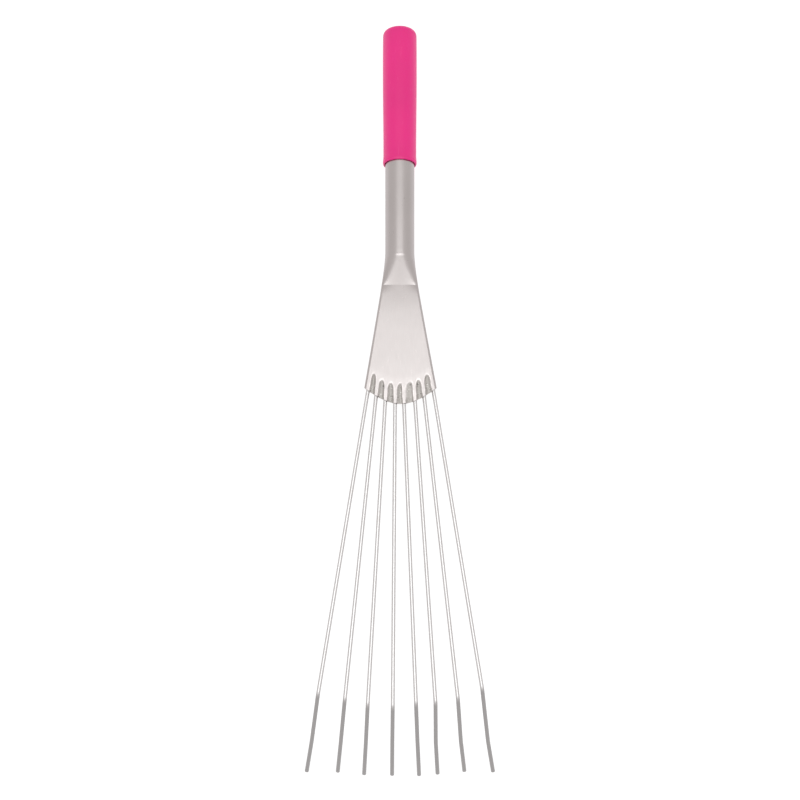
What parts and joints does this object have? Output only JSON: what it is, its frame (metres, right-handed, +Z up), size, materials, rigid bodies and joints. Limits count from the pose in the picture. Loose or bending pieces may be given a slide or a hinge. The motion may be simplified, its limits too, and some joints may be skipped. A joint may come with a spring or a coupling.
{
  "type": "hand rake",
  "caption": "Small hand rake: a steel tube handle with a soft sleeve, pressed into a fan head that grips long splayed spring tines with hooked ends.",
  "frame": {"origin": "centre of the rake's outline at the level of the surface it lies on", "axes": "+Y along the handle towards the sleeve's closed end, +Z up out of the head's upper face, +X across to the right when looking from the tines to the sleeve"},
  "size_m": [0.1184, 0.4934, 0.0332],
  "materials": {
    "grip_pvc": "satin soft PVC, bright pink",
    "handle_steel": "satin",
    "wire_steel": "bright drawn wire"
  },
  "bodies": {
    "frame": {"grip": "grip_pvc", "handle_head": "handle_steel"},
    "tine_1": {"tine_1": "wire_steel"},
    "tine_2": {"tine_2": "wire_steel"},
    "tine_3": {"tine_3": "wire_steel"},
    "tine_4": {"tine_4": "wire_steel"},
    "tine_5": {"tine_5": "wire_steel"},
    "tine_6": {"tine_6": "wire_steel"},
    "tine_7": {"tine_7": "wire_steel"},
    "tine_8": {"tine_8": "wire_steel"}
  },
  "joints": [
    {"name": "tine_1_flex", "type": "hinge", "parent": "frame", "child": "tine_1", "pos_m": [-0.02024, -0.00476, 0.02277], "axis": [-0.9884, 0.1519, -0.007], "range_deg": [-8, 8], "stiffness_Nm_per_rad": 4.8, "deforming": ["tine_1"]},
    {"name": "tine_2_flex", "type": "hinge", "parent": "frame", "child": "tine_2", "pos_m": [-0.01519, -0.00898, 0.02296], "axis": [-0.9954, 0.0952, -0.0044], "range_deg": [-8, 8], "stiffness_Nm_per_rad": 4.8, "deforming": ["tine_2"]},
    {"name": "tine_3_flex", "type": "hinge", "parent": "frame", "child": "tine_3", "pos_m": [-0.00932, -0.01243, 0.02312], "axis": [-0.9986, 0.0535, -0.0025], "range_deg": [-8, 8], "stiffness_Nm_per_rad": 4.8, "deforming": ["tine_3"]},
    {"name": "tine_4_flex", "type": "hinge", "parent": "frame", "child": "tine_4", "pos_m": [-0.00309, -0.0144, 0.02321], "axis": [-1, 0.0066, -0.0003], "range_deg": [-8, 8], "stiffness_Nm_per_rad": 4.8, "deforming": ["tine_4"]},
    {"name": "tine_5_flex", "type": "hinge", "parent": "frame", "child": "tine_5", "pos_m": [0.0026, -0.01458, 0.02322], "axis": [-0.9993, -0.0382, 0.0018], "range_deg": [-8, 8], "stiffness_Nm_per_rad": 4.8, "deforming": ["tine_5"]},
    {"name": "tine_6_flex", "type": "hinge", "parent": "frame", "child": "tine_6", "pos_m": [0.00965, -0.01266, 0.02313], "axis": [-0.998, -0.0632, 0.0029], "range_deg": [-8, 8], "stiffness_Nm_per_rad": 4.8, "deforming": ["tine_6"]},
    {"name": "tine_7_flex", "type": "hinge", "parent": "frame", "child": "tine_7", "pos_m": [0.01547, -0.00936, 0.02298], "axis": [-0.9946, -0.1035, 0.0048], "range_deg": [-8, 8], "stiffness_Nm_per_rad": 4.8, "deforming": ["tine_7"]},
    {"name": "tine_8_flex", "type": "hinge", "parent": "frame", "child": "tine_8", "pos_m": [0.02124, -0.00468, 0.02276], "axis": [-0.9885, -0.1509, 0.007], "range_deg": [-8, 8], "stiffness_Nm_per_rad": 4.8, "deforming": ["tine_8"]}
  ]
}
